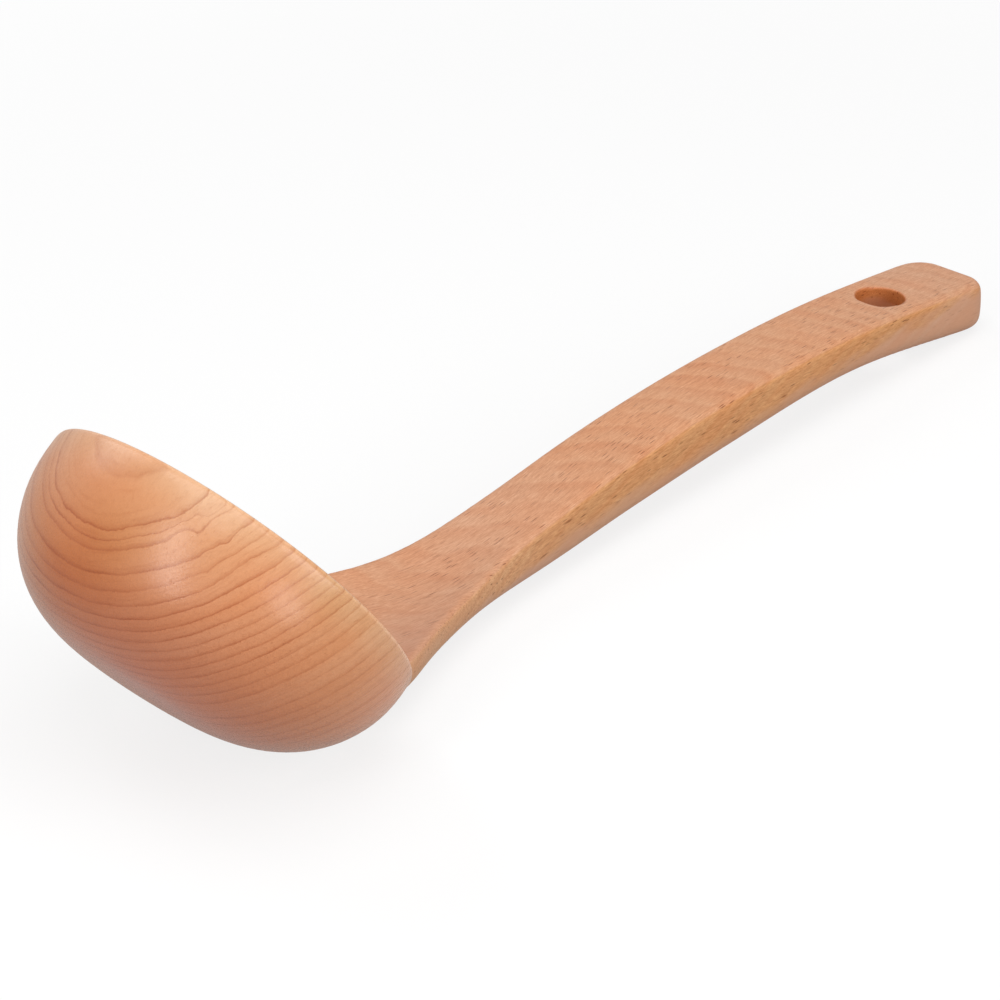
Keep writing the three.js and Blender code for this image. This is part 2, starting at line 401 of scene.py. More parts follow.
# %% Bevel weights of the long edges
mesh = bmesh.from_edit_mesh(handle.data)
mesh.verts.ensure_lookup_table()
mesh.verts.index_update()
side_at = max(vertex.co.y for vertex in mesh.verts)
bar_place = [vertex.co.copy() for vertex in mesh.verts]
bar_row = [min(range(len(places)), key=lambda row: abs(places[row] - place.x)) for place in bar_place]
near = 0.01


def is_corner(index, upper):
    """Whether a vertex lies on one of the two upper or lower long edges of the bar."""
    place = bar_place[index]
    return abs(abs(place.y) - side_at) < near and (place.z > 0) == upper


def pick_long_edges(row, upper):
    """Select only the two long edges between a row and the next one."""
    for edge in mesh.edges:
        ends = [vertex.index for vertex in edge.verts]
        rows = sorted(bar_row[index] for index in ends)
        edge.select = rows == [row, row + 1] and all(is_corner(index, upper) for index in ends)
    bmesh.update_edit_mesh(handle.data)


bpy.ops.mesh.select_mode(type="EDGE")
for row in range(len(places) - 1):
    form = handle_row((places[row] + places[row + 1]) / 2)
    for upper, radius in ((True, form["top_edge"]), (False, form["bottom_edge"])):
        bpy.ops.mesh.select_all(action="DESELECT")
        pick_long_edges(row, upper)
        bpy.ops.transform.edge_bevelweight(value=radius / bottom_edge)
print("long edges with a bevel weight:", 4 * (len(places) - 1))

# %% [markdown]
# ## Shaping the rows
# Each row of the bar is scaled to its width and thickness and moved to its height. Its far half is then
# pulled in by a share of its own, which rounds the tip's far corner. The vertices between the sides are
# lowered last, by the dish of the top or the crown of the back.

# %% Shape the rows
bpy.ops.mesh.select_mode(type="VERT")
mesh = bmesh.from_edit_mesh(handle.data)


def pick_vertices(indices):
    """Select only these vertices of the handle."""
    bpy.ops.mesh.select_all(action="DESELECT")
    mesh.verts.ensure_lookup_table()
    for index in indices:
        mesh.verts[index].select = True
    mesh.select_flush(True)
    bmesh.update_edit_mesh(handle.data)


for row, at in enumerate(places):
    form = handle_row(at)
    ring = [index for index in range(len(bar_place)) if bar_row[index] == row]
    pick_vertices(ring)
    across = form["half"] / side_at
    upright = form["thick"] / (2 * side_at)
    bpy.ops.transform.resize(value=(1, across, upright), center_override=(at, 0, 0))
    bpy.ops.transform.translate(value=(0, 0, form["top"] - form["thick"] / 2))
    pick_vertices([index for index in ring if bar_place[index].y > near])
    bpy.ops.transform.resize(value=(1, form["far_share"], 1), center_override=(at, 0, 0))
    for index in ring:
        share = bar_place[index].y / side_at
        bow = form["dish"] if bar_place[index].z > 0 else form["crown"]
        if abs(share) < 1 - near:
            pick_vertices([index])
            bpy.ops.transform.translate(value=(0, 0, -bow * (1 - share**2)))
print("rows shaped:", len(places))

# %% [markdown]
# ## Smoothing the handle
# The flat end is inset once, so that subdivision rounds its edge and keeps its middle in place. The bar was
# drawn in millimetres, so it is scaled to metres, and it leaves the bowl's rim at its own angle.

# %% Smooth and place the handle
handle_angle = math.radians(57)
handle_lean = bowl_tilt - handle_angle
tip_inset = 1.2
bevel_segments = 3
handle_levels = 2

mesh.select_mode = {"FACE"}
for face in mesh.faces:
    face.select = all(bar_row[vertex.index] == len(places) - 1 for vertex in face.verts)
bmesh.update_edit_mesh(handle.data)
bpy.ops.mesh.select_mode(type="FACE")
bpy.ops.mesh.inset(thickness=tip_inset)
bpy.ops.object.mode_set(mode="OBJECT")
apply_modifier(
    handle,
    "BEVEL",
    width=bottom_edge,
    segments=bevel_segments,
    limit_method="WEIGHT",
    use_clamp_overlap=False,
)
apply_modifier(handle, "SUBSURF", levels=handle_levels, render_levels=handle_levels)
handle.scale = (mm, mm, mm)
root_place = rim_centre + crest_radius * Vector((math.cos(bowl_tilt), 0, -math.sin(bowl_tilt)))
settle(handle, handle_lean, root_place)
print("handle faces:", len(handle.data.polygons), "low corner in mm:", in_mm(low_corner(handle)))

# %% [markdown]
# ## Coping the root, drilling the hole
# The root fits round the back of the rim and laps a little over it. The tool that cuts it is the bowl's own
# outside, grown by the thickness of the glue and turned on the same axis, with a straight column over the
# hollow. A drill makes the hanging hole. Each cutter is a mesh of its own, used once in a Boolean modifier
# and deleted.

# %% Cope and drill
glue = 0.15 * mm
rim_lap = 1.5 * mm
column_height = 40 * mm
hole_radius = 5.95 * mm
hole_from_tip = 30.5
hole_depth = 40 * mm
hole_sides = 96
handle_turn = Matrix.Rotation(handle_lean, 3, "Y")


def cut(piece, cutter):
    """Cut a piece with another mesh and delete the cutter."""
    apply_modifier(piece, "BOOLEAN", operation="DIFFERENCE", solver="EXACT", object=cutter)
    select_only(cutter)
    bpy.ops.object.delete()


def drill(centre, radius, depth, sides, tilt):
    """A round cutter whose axis leans about the cross axis."""
    bpy.ops.object.select_all(action="DESELECT")
    bpy.ops.mesh.primitive_cylinder_add(vertices=sides, radius=radius, depth=depth)
    cutter = bpy.context.object
    settle(cutter, tilt, centre)
    return cutter


def grown(points, thickness):
    """A section's points moved outwards, square to the section."""
    moved = []
    for index, point in enumerate(points):
        before = Vector(points[max(index - 1, 0)])
        after = Vector(points[min(index + 1, len(points) - 1)])
        outward = Vector(((after - before).y, (before - after).x)).normalized()
        moved.append(tuple(Vector(point) + outward * thickness))
    return moved


lapped_lip = [point for point in lip if point[0] > crest_radius - rim_lap]
cope_section = [(0, -bowl_depth - glue)] + grown(outer_wall + lapped_lip, glue)
cope_section = cope_section + [(crest_radius - rim_lap, column_height), (0, column_height)]
cope = turn_on_axis("cope", cope_section)
deepen_front(cope)
settle(cope, bowl_tilt, rim_centre)
cut(handle, cope)
hole_place = root_place + handle_turn @ Vector(((handle_length - hole_from_tip) * mm, 0, 0))
cut(handle, drill(hole_place, hole_radius, hole_depth, hole_sides, handle_lean))
print("handle faces after the cuts:", len(handle.data.polygons))

# %% [markdown]
# ## The dowel holes
# Two hidden dowels keep the glued joint from shearing. Their holes run from the handle's root into the bowl's
# wall, so both pieces are drilled with the same drill at the place of each packed dowel.

# %% Dowel holes
dowel_nodes = ("dowel_pin_left", "dowel_pin_right")
dowel_hole_radius = 1.65 * mm
dowel_hole_sides = 32
dowel_tilt = quarter_turn + bowl_tilt - handle_angle
dowel_spare = 1 * mm
for node in dowel_nodes:
    low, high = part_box(node)
    length = (high - low).x + dowel_spare
    for piece in (bowl, handle):
        cut(piece, drill((low + high) / 2, dowel_hole_radius, length, dowel_hole_sides, dowel_tilt))
print("bowl faces:", len(bowl.data.polygons), "handle faces:", len(handle.data.polygons))

# %% [markdown]
# ## Easing the edges
# A sanded handle has no sharp edge at the hole or where the root meets the rim. A fine voxel remesh turns
# the cut mesh into even faces, and a few rounds of smoothing take off the corners. The lathe leaves the bowl
# smooth already, so its faces only need smooth shading.

# %% Ease the edges
voxel = 0.5 * mm
easing_rounds = 4
easing_share = 0.5
bowl_crease = math.radians(40)
handle_crease = math.radians(60)
apply_modifier(handle, "REMESH", mode="VOXEL", voxel_size=voxel)
apply_modifier(handle, "SMOOTH", factor=easing_share, iterations=easing_rounds)
for piece, crease in ((bowl, bowl_crease), (handle, handle_crease)):
    select_only(piece)
    bpy.ops.object.shade_smooth_by_angle(angle=crease)
print("triangles of the handle:", sum(len(face.vertices) - 2 for face in handle.data.polygons))

# %% [markdown]
# ## Standing for the packed pieces
# Each new piece moves with the ladle's only body and hides the packed piece that it stands for. Its lowest
# corner should lie near the old one. It is a little inside it where the mouth turns in and the edges are
# eased.

# %% Put the pieces in the frame
for piece, node, slot in ((bowl, "bowl", "bowl_wood"), (handle, "handle", "handle_wood")):
    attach(piece, "root")
    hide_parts(node)
    print(piece.name, "low corner is off by mm:", in_mm(low_corner(piece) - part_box(node)[0]))

# %% [markdown]
# ## Shader maths as Python
# A node tree drawn by hand is hard to read in a script. A small class wraps one output of a node, so that
# sums on it add Math nodes, and one method adds any other node.

# %% Wires
# Sockets of a Mix node that mixes colours.
MIX_FACTOR, MIX_FIRST, MIX_SECOND, MIX_RESULT = 0, 6, 7, 2


class Wire:
    """One output of a shader node, so that shader maths reads as Python."""

    def __init__(self, tree, socket=None):
        self.tree = tree
        self.socket = socket

    def node(self, kind, settings, inputs, output=0):
        """Add a node: its settings first, then a value or a wire for each socket."""
        made = self.tree.nodes.new("ShaderNode" + kind)
        for name, value in settings.items():
            setattr(made, name, value)
        for name, value in inputs.items():
            if isinstance(value, Wire):
                self.tree.links.new(value.socket, made.inputs[name])
            else:
                made.inputs[name].default_value = value
        return Wire(self.tree, made.outputs[output] if made.outputs else None)

    def maths(self, operation, *values):
        """A Math node on these values or wires."""
        return self.node("Math", {"operation": operation}, dict(enumerate(values)))

    def __add__(self, other):
        return self.maths("ADD", self, other)

    def __radd__(self, other):
        return self.maths("ADD", other, self)

    def __sub__(self, other):
        return self.maths("SUBTRACT", self, other)

    def __rsub__(self, other):
        return self.maths("SUBTRACT", other, self)

    def __mul__(self, other):
        return self.maths("MULTIPLY", self, other)

    def __rmul__(self, other):
        return self.maths("MULTIPLY", other, self)

    def __truediv__(self, other):
        return self.maths("DIVIDE", self, other)

    def power_of_e(self):
        """e raised to this wire."""
        return self.maths("EXPONENT", self)

    def smooth(self, start, end):
        """0 before start, 1 after end, and a soft step between them."""
        inputs = {"Value": self, "From Min": start, "From Max": end}
        return self.node("MapRange", {"interpolation_type": "SMOOTHSTEP"}, inputs)

    def between(self, first, second):
        """The first colour where this wire is 0, and the second where it is 1."""
        inputs = {MIX_FACTOR: self, MIX_FIRST: (*first, 1), MIX_SECOND: (*second, 1)}
        return self.node("Mix", {"data_type": "RGBA"}, inputs, MIX_RESULT)

    def tinted(self, part, tint):
        """This colour multiplied by a tint, as far as part says."""
        settings = {"data_type": "RGBA", "blend_type": "MULTIPLY"}
        inputs = {MIX_FACTOR: part, MIX_FIRST: self, MIX_SECOND: (*tint, 1)}
        return self.node("Mix", settings, inputs, MIX_RESULT)


def new_sheet(owner):
    """An empty node tree to draw on."""
    owner.use_nodes = True
    owner.node_tree.nodes.clear()
    return Wire(owner.node_tree)


print("shader helpers:", [name for name in vars(Wire) if not name.startswith("_")])

# %% [markdown]
# ## The grain of beech
# Wood is a solid pattern: its fibres run one way, and its growth layers lie across them. Where a surface
# cuts the layers they show as lines, so one pattern in space gives the rings round the bowl and the faint
# bands over the handle. Every piece gets three measures, along the fibre, across it and through the layers.

# %% Places in the wood
def wood_axes(sheet, heart, fibre):
    """Wires along the fibre, across it and up from it, in mm from the heart."""
    place = sheet.node("TexCoord", {}, {}, "Object")
    from_heart = place.node("VectorMath", {"operation": "SUBTRACT"}, {0: place, 1: Vector(heart) * mm})
    local = place.node("VectorMath", {"operation": "SCALE"}, {0: from_heart, "Scale": 1 / mm})
    along = Vector(fibre).normalized()
    across = Vector((0, 0, 1)).cross(along).normalized()
    dot = {"operation": "DOT_PRODUCT"}
    axes = (along, across, along.cross(across))
    return [local.node("VectorMath", dot, {0: local, 1: axis}, "Value") for axis in axes]


def in_cells(along, side, up, sizes):
    """A place counted in cells of these sizes in mm."""
    parts = {0: along / sizes[0], 1: side / sizes[1], 2: up / sizes[2]}
    return along.node("CombineXYZ", {}, parts)


def hump(wire, centre, size):
    """A soft hump, 1 at its centre, over the value of a wire."""
    apart = (wire - centre) / size
    return (apart * apart * -1).power_of_e()


def patch(sheet, centre, size):
    """A soft round patch, 1 at its centre, whose place and size are in mm."""
    place = sheet.node("TexCoord", {}, {}, "Object")
    distance = {"operation": "DISTANCE"}
    apart = place.node("VectorMath", distance, {0: place, 1: Vector(centre) * mm}, "Value")
    return hump(apart, 0, size * mm)


print("helpers for places:", wood_axes.__name__, in_cells.__name__, hump.__name__, patch.__name__)

# %% Grain
year_width = 2.8
middle_of_year = 0.5
noise_gain = 4
fine_detail = 2
chance_edge = 0.1


def noise(along, side, up, sizes, detail=1):
    """Soft noise round 0, mostly from -1 to 1, with patches of these sizes in mm."""
    place = in_cells(along, side, up, sizes)
    level = place.node("TexNoise", {}, {"Vector": place, "Scale": 1, "Detail": detail})
    return level * noise_gain - noise_gain / 2


def flecks(along, side, up, sizes, edge, share):
    """Spindle-shaped marks in cells of these sizes in mm, in a share of the cells."""
    place = in_cells(along, side, up, sizes)
    distance = place.node("TexVoronoi", {}, {"Vector": place, "Scale": 1}, "Distance")
    colour = place.node("TexVoronoi", {}, {"Vector": place, "Scale": 1}, "Color")
    chance = colour.node("SeparateColor", {}, {0: colour}, 0)
    return (1 - distance.smooth(*edge)) * chance.smooth(1 - share - chance_edge, 1 - share + chance_edge)


def growth_lines(layer, first, rise, fade):
    """A dark line for each year, sharp below and fading above, and a chance level for that year."""
    count = (layer - first + rise) / year_width
    year = count.maths("FLOOR", count)
    since = (count - year) * year_width
    line = since.smooth(0, rise) * ((rise - since) / fade).power_of_e()
    inputs = {"W": year + middle_of_year}
    chance = year.node("TexWhiteNoise", {"noise_dimensions": "1D"}, inputs, "Value")
    return line, chance


# %% [markdown]
# ## The bowl's rings
# The bowl is cut so that its layers lie nearly level and bowed, and show as fine dark rings. The rings
# wander, differ in strength, are wider apart in the middle of the board and crowd together near the top.
# So the measure through the layers is moved by noise and by a few soft humps before lines are drawn on it.

# %% Bowl rings
bowl_heart = (-110, 0, 40)
board_upright = 0.961
board_slope = 0.261
board_lean = 0.088
bow_along = 0.00212
bow_across = 0.0026
bow_twist = 0.00183
# Sizes of the patches in mm, and how far they move a ring.
RING_WANDER = [((32, 16, 20), 0.3), ((5, 4, 4), 0.14), ((0.9, 0.7, 0.7), 0.08)]
kink_place = (-123, -22, 67)
kink_size = 9
kink_waves = (6, 4, 4)
kink_reach = 1.2
# Layer in mm, how far the hump reaches, and how far it moves the rings.
RING_CROWDING = [(0, 14, -2), (34, 2.4, 2.3), (31, 1.4, -1.2)]
first_ring = 38.4
ring_rise = 0.3
ring_fade = 0.42

bowl_wood = bpy.data.materials.new("bowl_beech")
sheet = new_sheet(bowl_wood)
x, y, z = wood_axes(sheet, bowl_heart, fibre=(1, 0, 0))
level = z * board_upright - x * board_slope + y * board_lean
steady = level + (x * x * bow_along - y * y * bow_across - y * z * bow_twist)
layer = steady
for sizes, reach in RING_WANDER:
    layer = layer + noise(x, y, z, sizes) * reach
layer = layer + noise(x, y, z, kink_waves) * patch(sheet, kink_place, kink_size) * kink_reach
crowded = layer
for centre, size, shift in RING_CROWDING:
    crowded = crowded + hump(layer, centre, size) * shift
line, chance = growth_lines(crowded, first_ring, ring_rise, ring_fade)
print("nodes that draw the rings:", len(bowl_wood.node_tree.nodes))

# %% Strength of the rings
top_layers = (32.5, 36.5)
top_loss = 0.65
low_layers = (-12, 16)
low_loss = 0.5
faintest_ring = 0.55
ring_spread = 0.55
ring_patches = (12, 8, 3)
patchiness = 0.4

bold = 1 - steady.smooth(*top_layers) * top_loss - (1 - steady.smooth(*low_layers)) * low_loss
patchy = noise(x, y, z, ring_patches) * patchiness + 1
rings = line * ((chance * ring_spread + faintest_ring) * bold * patchy)
print("rings are faint above the layer at mm:", top_layers[1])

# %% [markdown]
# ## The bowl's finish
# The wood under the lacquer is orange at the front, redder low down, and paler towards the handle. Soft
# patches of tint give these changes, and some of them paint light: a pale veil of highlight at the left
# reflection, light on the lower right near the handle and a little shade on the underside. A pale band along
# the rim is painted sheen, and the lip is painted lighter still. The rings, fine threads, flecks and streaks
# lie over them. The lacquer gives a satin shine.

# %% Bowl colour
bowl_fibre = (0.96, -0.09, 0.26)
bowl_axis = Vector((math.sin(bowl_tilt), 0, math.cos(bowl_tilt)))
bowl_deep = (0.66, 0.275, 0.115)
bowl_pale = (0.68, 0.31, 0.145)
cloud_edge = (-0.9, 0.9)
rim_sheen_band = (-9, -1)
lip_light_band = (-1.2, -0.4)
thread_edge = (0, 0.9)
thread_share = 0.6
fleck_share = 0.4
streak_edge = (-0.6, 1)
streak_share = 0.6
# Centre and size of each patch in mm, and its tint.
BOWL_TINT_AND_PAINTED_LIGHT_PATCHES = [
    ((-140, 3, 57), 13, (0.97, 0.76, 0.52)),
    ((-138, -8, 40), 26, (1.02, 0.82, 0.86)),
    # Redder wood, and a little painted shade on the underside.
    ((-122, -28, 20), 22, (0.94, 0.85, 0.86)),
    ((-98, -42, 40), 18, (1.06, 1.14, 1.18)),
    ((-137, -6, 64), 9, (0.9, 0.86, 0.7)),
    ((-126, -6, 22), 24, (0.98, 0.82, 0.84)),
    # Painted highlight: a pale veil round the top of the left lamp's reflection.
    ((-126, -20, 70), 13, (0.96, 1.09, 1.15)),
    # Painted light: the bowl's lower right, near the handle, made paler.
    ((-96, -39, 23), 13, (1.12, 1.11, 1.27)),
    ((-111, -39, 56), 9, (0.9, 0.91, 0.82)),
]
BOWL_TINTS = {
    # Painted sheen: a pale, cool band along the rim.
    "rim": (1.03, 1.2, 1.34),
    # Painted light: the lip's rounded edge made paler, against its own shade.
    "lip": (1.18, 1.27, 1.38),
    "rings": (0.72, 0.53, 0.39),
    "threads": (0.9, 0.83, 0.77),
    "flecks": (0.76, 0.6, 0.48),
    "streaks": (0.84, 0.76, 0.68),
}


def tint_patches(sheet, colour, patches):
    """A colour multiplied by soft round patches of tint."""
    for centre, size, tint in patches:
        colour = colour.tinted(patch(sheet, centre, size), tint)
    return colour


def tint_parts(colour, parts, tints):
    """A colour multiplied by the tint of each part, in the order of the parts."""
    for name, part in parts.items():
        colour = colour.tinted(part, tints[name])
    return colour


along, side, up = wood_axes(sheet, bowl_heart, bowl_fibre)
above_rim = wood_axes(sheet, rim_centre / mm, bowl_axis)[0]
cloud = noise(along, side, layer, sizes=(40, 22, 6), detail=fine_detail)
thread = noise(along, side, layer, sizes=(18, 10, 0.45))
streak = noise(along, side, up, sizes=(2.4, 0.3, 0.4), detail=fine_detail)
mark = flecks(along, side, up, sizes=(2.6, 0.5, 0.7), edge=(0.08, 0.32), share=0.4)
bowl_parts = {
    # Band of painted sheen below the rim.
    "rim": above_rim.smooth(*rim_sheen_band),
    # Band of painted light on the lip.
    "lip": above_rim.smooth(*lip_light_band),
    "rings": rings,
    "threads": thread.smooth(*thread_edge) * thread_share,
    "flecks": mark * fleck_share,
    "streaks": streak.smooth(*streak_edge) * streak_share,
}
colour = cloud.smooth(*cloud_edge).between(bowl_deep, bowl_pale)
colour = tint_patches(sheet, colour, BOWL_TINT_AND_PAINTED_LIGHT_PATCHES)
colour = tint_parts(colour, bowl_parts, BOWL_TINTS)
print("patches and parts with a tint of their own:", len(BOWL_TINT_AND_PAINTED_LIGHT_PATCHES) + len(BOWL_TINTS))

# %% Bowl skin
streak_relief = 0.2
fleck_relief = 0.4
ring_relief = 0.3
streak_gloss_loss = 0.03
fleck_gloss_loss = 0.06
lacquer_roughness = 0.28


def finish_piece(piece, material, colour, roughness, relief, relief_depth, relief_strength, shine):
    """Give a piece a wood with this colour, roughness, relief and shine."""
    inputs = {"Height": relief, "Distance": relief_depth, "Strength": relief_strength}
    bump = relief.node("Bump", {}, inputs)
    inputs = {"Base Color": colour, "Roughness": roughness, "Normal": bump, "Specular IOR Level": shine}
    skin = colour.node("BsdfPrincipled", {}, inputs)
    skin.node("OutputMaterial", {}, {"Surface": skin})
    piece.data.materials.clear()
    piece.data.materials.append(material)
    print("nodes in the finish", material.name + ":", len(material.node_tree.nodes))


finish_piece(
    bowl,
    bowl_wood,
    colour,
    roughness=streak * streak_gloss_loss + mark * fleck_gloss_loss + lacquer_roughness,
    relief=streak * streak_relief - mark * fleck_relief - rings * ring_relief,
    relief_depth=0.05 * mm,
    relief_strength=0.35,
    shine=0.5,
)

# %% [markdown]
# ## The handle's layers
# The handle's layers lie flat along the top, so that rings show as broad faint bands, which swing round
# towards the root. Its sides are cut through the layers. Along their upper edge runs a strip of more orange
# wood with a ragged border, which narrows towards the tip. The strip's contrast with the paler lower side is
# partly painted: it stands in for the sheen of the floor's light on the down-turned lower side.

# %% Handle layers
handle_fibre = (1, 0.05, 0.09)
root_start = -12
root_swing = 0.005
layer_fall = 0.34
layer_lean = 0.2
layer_cup = 0.008
layer_wander = 0.6
band_rise = 0.9
band_fade = 1.3

handle_wood = bpy.data.materials.new("handle_beech")
sheet = new_sheet(handle_wood)
along, side, up = wood_axes(sheet, heart=(0, 0, 0), fibre=handle_fibre)
into_root = along.maths("MINIMUM", along - root_start, 0)
side = side - into_root * into_root * root_swing
layer = up - along * layer_fall - side * layer_lean - side * side * layer_cup
layer = layer + noise(along, side, up, sizes=(30, 9, 12)) * layer_wander
band, chance = growth_lines(layer, first=0, rise=band_rise, fade=band_fade)
print("mm along the handle from band to band:", round(year_width / layer_fall, 1))

# %% Orange strip
strip_middle = 38
strip_bow = 0.0009
strip_climb = 0.09
strip_level = 12
strip_ragged = 1.5
strip_border = (-2, 2)
# Where the strip narrows, in mm along the handle, and by how much.
STRIP_NARROWING = [((50, 100), 5.5), ((100, 140), 4)]

from_middle = along - strip_middle
rise = from_middle * from_middle * strip_bow + along * strip_climb
over_border = up + rise + noise(along, side, up, sizes=(12, 6, 3)) * strip_ragged - strip_level
for stretch, narrowing in STRIP_NARROWING:
    over_border = over_border - along.smooth(*stretch) * narrowing
strip = over_border.smooth(*strip_border)
print("the strip narrows in mm by:", sum(narrowing for stretch, narrowing in STRIP_NARROWING))

# %% [markdown]
# ## The handle's finish
# The handle is only sanded, so it is duller than the bowl. The ends of the rays show as short dark dashes
# among fine pale and dark fibres, which are calmer on the lower sides, and the wall of the drilled hole
# shows darker end grain.

# %% Handle flecks and fibres
fibre_bend = 0.7
bent = up + rise * fibre_bend
crowd = noise(along, side, up, sizes=(22, 9, 6))
mark = flecks(along, side, bent, sizes=(5.2, 0.5, 0.8), edge=(0.1, 0.28), share=0.65)
long_mark = flecks(along, side, bent, sizes=(9, 1.2, 1.5), edge=(0.06, 0.24), share=0.35)
grain = noise(along, side, bent, sizes=(0.7, 0.18, 0.22))
fibres = noise(along, side, bent, sizes=(3, 0.22, 0.35))
cloud = noise(along, side, layer, sizes=(30, 12, 4), detail=fine_detail)
print("nodes so far in the handle's finish:", len(handle_wood.node_tree.nodes))

# %% Sides and hole
flank_turn = (0.35, 0.75)
tip_stretch = (60, 110)
root_stretch = (-50, 0)
hole_border = (0.1, 0.5)
calming = 0.8
handle_axis = handle_turn @ Vector((1, 0, 0))

normal = sheet.node("TexCoord", {}, {}, "Normal")
facing_up = normal.node("SeparateXYZ", {}, {0: normal}, "Z")
sideways = 1 - facing_up.maths("ABSOLUTE", facing_up).smooth(*flank_turn)
upper_side = sideways * strip
lower_side = sideways * (1 - strip)
near_tip = along.smooth(*tip_stretch)
near_root = sideways * (1 - along.smooth(*root_stretch))
hole_along, hole_side = wood_axes(sheet, hole_place / mm, handle_axis)[:2]
hole_distance = hole_along.maths("SQRT", hole_along * hole_along + hole_side * hole_side)
from_wall = hole_distance - hole_radius / mm
in_hole = 1 - from_wall.smooth(*hole_border)
calm = 1 - lower_side * calming
print("hole's centre in mm:", in_mm(hole_place))

# %% Handle colour
handle_pale = (0.65, 0.34, 0.19)
handle_deep = (0.65, 0.31, 0.16)
# Centre and size of each patch in mm, and its tint.
HANDLE_PATCHES = [
    ((-24, 7, 15), 26, (1, 1.06, 1.17)),
    ((-71, -19, 14), 26, (0.92, 0.96, 1.1)),
    ((133, 9, 15), 26, (1, 1.05, 1.14)),
]
HANDLE_TINTS = {
    # Partly wood colour and partly painted: the strip's contrast with the lower side stands in for sheen.
    "strip": (1.06, 1.03, 0.79),
    # Painted sheen: the lower side a little cooler, as floor light on it.
    "lower_side": (0.96, 0.99, 1.02),
    "root": (1.05, 1.12, 1.3),
    "strip_at_tip": (0.95, 0.91, 0.84),
    # Painted sheen: the lower side paler towards the tip.
    "lower_side_sheen_at_tip": (1.03, 1.04, 1.1),
    "hole": (0.92, 0.68, 0.52),
    "bands": (0.91, 0.82, 0.76),
    "flecks": (0.4, 0.26, 0.18),
    "long_flecks": (0.5, 0.32, 0.2),
    "dark_grain": (0.8, 0.71, 0.63),
    "dark_fibres": (0.82, 0.73, 0.64),
    "pale_grain": (1.12, 1.26, 1.4),
    "pale_fibres": (1.1, 1.2, 1.3),
}
print("patches and parts with a tint of their own:", len(HANDLE_PATCHES) + len(HANDLE_TINTS))

# %% Tint the handle
faintest_band = 0.4
band_spread = 0.5
crowd_edge = (-0.9, 0.5)
long_fleck_on_top = 0.4
long_fleck_more_on_sides = 0.5
dark_grain_edge = (-0.2, 1)
dark_grain_share = 0.45
dark_fibre_edge = (-0.3, 1)
dark_fibre_share = 0.8
pale_edge = (0.3, 1.1)
pale_grain_share = 0.5

side_parts = {
    "strip": upper_side,
    # Painted sheen on the lower side, most of all towards the tip.
    "lower_side": lower_side,
    "root": near_root,
    "strip_at_tip": near_tip * upper_side,
    "lower_side_sheen_at_tip": near_tip * lower_side,
}
grain_parts = {
    "hole": in_hole,
    "bands": band * (chance * band_spread + faintest_band) * calm,
    "flecks": mark * crowd.smooth(*crowd_edge) * calm,
    "long_flecks": long_mark * (sideways * long_fleck_more_on_sides + long_fleck_on_top) * calm,
    "dark_grain": grain.smooth(*dark_grain_edge) * calm * dark_grain_share,
    "dark_fibres": fibres.smooth(*dark_fibre_edge) * calm * dark_fibre_share,
    "pale_grain": (grain * -1).smooth(*pale_edge) * calm * pale_grain_share,
    "pale_fibres": (fibres * -1).smooth(*pale_edge) * calm,
}
colour = cloud.smooth(*cloud_edge).between(handle_pale, handle_deep)
colour = tint_parts(colour, side_parts, HANDLE_TINTS)
colour = tint_patches(sheet, colour, HANDLE_PATCHES)
colour = tint_parts(colour, grain_parts, HANDLE_TINTS)
print("parts of the sides:", len(side_parts), "parts of the grain:", len(grain_parts))

# %% Handle skin
grain_relief = 0.15
fibre_relief = 0.15
dash_relief = 0.6
grain_gloss_loss = 0.03
sanded_roughness = 0.5

finish_piece(
    handle,
    handle_wood,
    colour,
    roughness=grain * grain_gloss_loss + sanded_roughness,
    relief=grain * grain_relief + fibres * fibre_relief - mark * dash_relief,
    relief_depth=0.06 * mm,
    relief_strength=0.4,
    shine=0.35,
)

# %% [markdown]
# ## The dowels' finish
# The packed dowels keep their own shape. They are bought as straight rods of plain beech, so their fibres run
# along them and nothing is lacquered.

# %% Dowel finish
dowel_pale = (0.68, 0.42, 0.24)
dowel_deep = (0.58, 0.33, 0.17)
dowel_edge = (-0.8, 0.8)
dowel_roughness = 0.6

dowel_wood = bpy.data.materials.new("dowel_beech")
sheet = new_sheet(dowel_wood)
along, side, up = wood_axes(sheet, heart=(0, 0, 0), fibre=handle_axis)
grain = noise(along, side, up, sizes=(4, 0.3, 0.3), detail=fine_detail)
colour = grain.smooth(*dowel_edge).between(dowel_pale, dowel_deep)
skin = colour.node("BsdfPrincipled", {}, {"Base Color": colour, "Roughness": dowel_roughness})
skin.node("OutputMaterial", {}, {"Surface": skin})
for node in dowel_nodes:
    for material_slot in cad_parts[node].material_slots:
        material_slot.material = dowel_wood
print("dowels with a finish of their own:", len(dowel_nodes))

# %% [markdown]
# ## The white ground
# The photograph has a white ground with hardly any shadow. The floor is a plain sheet that glows white for
# the camera, keeps a faint shadow near the ladle, and is plain white farther away. Other rays see a darker
# sheet, so that it throws less light up at the bowl's underside than white paper would.

# %% Ground
ground_size = 6
ground_bounce = 0.42
ground_white = 0.95
ground_glow = 0.8
gloss_share = 0.5
shadow_reach = (0.2, 0.5)
pure_white = (1, 1, 1, 1)

bpy.ops.object.select_all(action="DESELECT")
bpy.ops.mesh.primitive_plane_add(size=ground_size)
ground = bpy.context.object
ground.name = "ground"
ground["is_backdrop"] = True


def ray(sheet, kind):
    """1 for rays of one kind and 0 for the others."""
    return sheet.node("LightPath", {}, {}, "Is " + kind + " Ray")


def seen_by(sheet, gloss):
    """1 for the camera and clear things, and a level for reflections."""
    beyond_camera = sheet.maths("MAXIMUM", ray(sheet, "Glossy") * gloss, ray(sheet, "Transmission"))
    return sheet.maths("MAXIMUM", ray(sheet, "Camera"), beyond_camera)


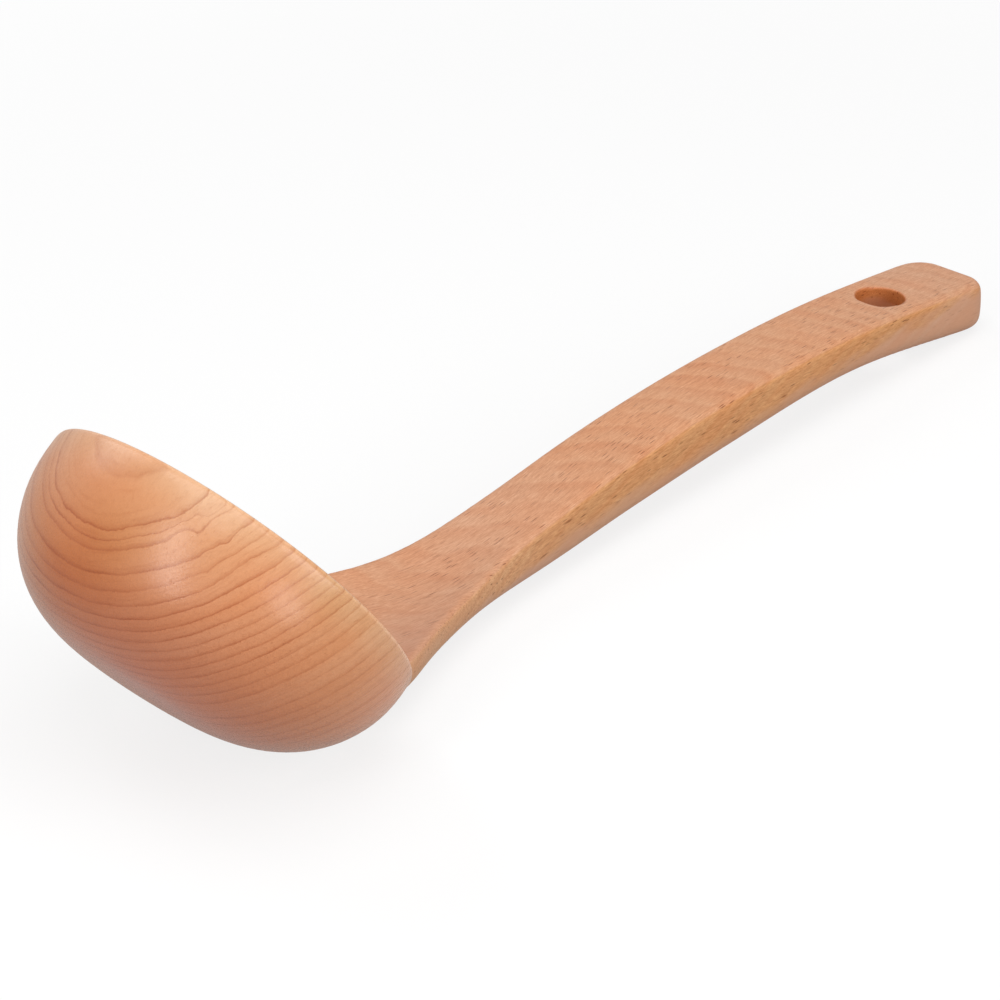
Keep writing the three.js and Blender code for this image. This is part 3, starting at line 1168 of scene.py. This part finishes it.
paper = bpy.data.materials.new("white_paper")
sheet = new_sheet(paper)
tone = ray(sheet, "Camera").between([ground_bounce] * 3, [ground_white] * 3)
diffuse = sheet.node("BsdfDiffuse", {}, {"Color": tone})
white = sheet.node("Emission", {}, {"Color": pure_white, "Strength": 1})
place = sheet.node("TexCoord", {}, {}, "Object")
away = place.node("VectorMath", {"operation": "LENGTH"}, {0: place}, "Value").smooth(*shadow_reach)
glow = seen_by(sheet, gloss_share) * (away * (1 - ground_glow) + ground_glow)
mixed = sheet.node("MixShader", {}, {0: glow, 1: diffuse, 2: white})
mixed.node("OutputMaterial", {}, {"Surface": mixed})
ground.data.materials.append(paper)
print("ground is", ground_size, "m wide")

# %% [markdown]
# ## The surroundings
# A photograph cut out on white has no visible surroundings, so the world is white where the camera or a
# reflection sees it, and gives only a little light of its own, so that the lamps shape the bowl.

# %% World
surround = 0.06
world = bpy.data.worlds.new("studio")
bpy.context.scene.world = world
sheet = new_sheet(world)
strength = seen_by(sheet, gloss=1) * (1 - surround) + surround
sky = sheet.node("Background", {}, {"Color": pure_white, "Strength": strength})
sky.node("OutputWorld", {}, {"Surface": sky})
print("light from the surroundings:", surround)

# %% [markdown]
# ## The lamps
# The two soft reflections on the bowl are the picture's only clue to the lamps. The left one is tall and
# narrow and the right one is low and small. A large soft lamp overhead, one in front and one behind fill in
# the rest.

# %% Lamps
ladle_middle = (-0.04, 0, 0.03)
bowl_front = (-0.12, -0.025, 0.055)


def softbox(name, place, target, width, height, power):
    """A rectangular soft lamp at one point that faces another."""
    facing = Vector(target) - Vector(place)
    bpy.ops.object.select_all(action="DESELECT")
    bpy.ops.object.light_add(type="AREA", location=Vector(place))
    lamp = bpy.context.object
    lamp.name = name
    lamp.data.shape = "RECTANGLE"
    lamp.data.size = width
    lamp.data.size_y = height
    lamp.data.energy = power
    lamp.rotation_euler = facing.to_track_quat("-Z", "Y").to_euler()
    print(name, "gives", power, "W from", round(facing.length, 2), "m")


softbox("overhead_box", (-0.11, -0.18, 0.9), ladle_middle, width=0.8, height=0.8, power=5.6)
softbox("front_box", (0.17, -0.79, 0.44), ladle_middle, width=0.5, height=0.45, power=3.3)
softbox("back_box", (-0.09, 0.62, 0.66), ladle_middle, width=0.5, height=0.5, power=2.0)
softbox("left_box", (-0.92, -0.19, 0.54), bowl_front, width=0.25, height=0.85, power=3.6)
softbox("right_box", (-0.31, -0.9, 0.17), bowl_front, width=0.26, height=0.4, power=1.3)

# %% [markdown]
# ## Finishing
# The view transform is set to Standard, so that colours come out as they are written. The box of the finished
# ladle is printed beside the packed one.

# %% Finish
bpy.context.scene.view_settings.view_transform = "Standard"
visual_box = [list(corner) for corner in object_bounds()]
print("packed box in mm:", [in_mm(corner) for corner in cad_box])
print("visual box in mm:", [in_mm(corner) for corner in visual_box])
